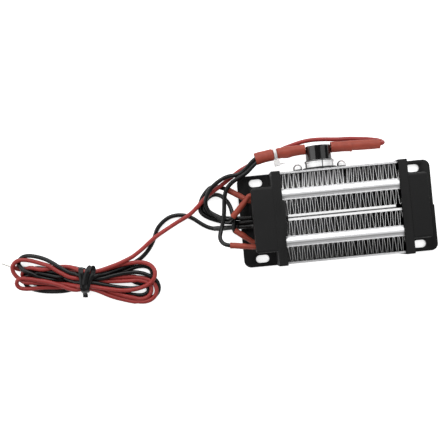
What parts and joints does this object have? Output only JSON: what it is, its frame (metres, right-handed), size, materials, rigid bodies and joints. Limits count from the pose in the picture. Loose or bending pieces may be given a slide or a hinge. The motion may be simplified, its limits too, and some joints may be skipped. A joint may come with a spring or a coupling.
{
  "type": "air heater element",
  "caption": "Finned electric air heater with flat heating tubes, moulded end caps with slotted flanges, a snap thermostat and wound red and black leads.",
  "frame": {"origin": "centre of the four mounting slots on the back face of the end caps, the face that the heater lies on", "axes": "+X along the heating tubes to the right, away from the wires; +Y across the fin rows to the thermostat; +Z along the way of the air, from the back face to the front"},
  "size_m": [0.2552, 0.086, 0.026],
  "materials": {
    "cap_plastic": "matte",
    "bright_aluminium": "satin",
    "fin_aluminium": "bright",
    "spacer_silicone": "matte",
    "insulating_film": "gloss",
    "heating_ceramic": "matte",
    "contact_brass": "satin",
    "body_phenolic": "semi-gloss",
    "bimetal": "satin",
    "white_ceramic": "matte",
    "screw_steel": "bright",
    "sleeve_silicone": "satin",
    "red_insulation": "satin",
    "black_insulation": "satin",
    "tinned_copper": "satin",
    "white_nylon": "satin",
    "tie_plastic": "matte"
  },
  "bodies": {
    "root": {"left_end_cap": "cap_plastic", "right_end_cap": "cap_plastic", "upper_side_plate": "bright_aluminium", "lower_side_plate": "bright_aluminium", "top_fin_row": "fin_aluminium", "upper_inner_fin_row": "fin_aluminium", "lower_inner_fin_row": "fin_aluminium", "bottom_fin_row": "fin_aluminium", "upper_centre_strip": "bright_aluminium", "lower_centre_strip": "bright_aluminium", "centre_spacer": "spacer_silicone", "upper_heating_tube": "bright_aluminium", "lower_heating_tube": "bright_aluminium", "upper_insulating_film": "insulating_film", "lower_insulating_film": "insulating_film", "upper_heating_chips": "heating_ceramic", "lower_heating_chips": "heating_ceramic", "upper_live_electrode": "contact_brass", "upper_neutral_electrode": "contact_brass", "lower_live_electrode": "contact_brass", "lower_neutral_electrode": "contact_brass", "thermostat_cap": "bright_aluminium", "thermostat_body": "body_phenolic", "thermostat_ring": "bright_aluminium", "bimetal_disc": "bimetal", "push_pin": "white_ceramic", "thermostat_left_terminal": "contact_brass", "thermostat_right_terminal": "contact_brass", "bracket_screws": "screw_steel", "thermostat_left_sleeve": "sleeve_silicone", "thermostat_right_sleeve": "sleeve_silicone", "fuse_sleeve": "sleeve_silicone", "thermal_fuse": "tinned_copper", "upper_live_sleeve": "sleeve_silicone", "upper_neutral_sleeve": "sleeve_silicone", "lower_live_sleeve": "sleeve_silicone", "lower_neutral_sleeve": "sleeve_silicone", "upper_live_wire": "black_insulation", "upper_neutral_wire": "black_insulation", "lower_live_wire": "black_insulation", "lower_neutral_wire": "black_insulation", "neutral_splice": "tinned_copper", "cable_tie": "white_nylon", "red_lead": "red_insulation", "black_lead": "black_insulation", "black_lead_sleeve": "black_insulation", "lead_hank": "red_insulation", "twist_tie": "tie_plastic", "red_lead_tip": "tinned_copper", "black_lead_tip": "tinned_copper"}
  },
  "joints": []
}
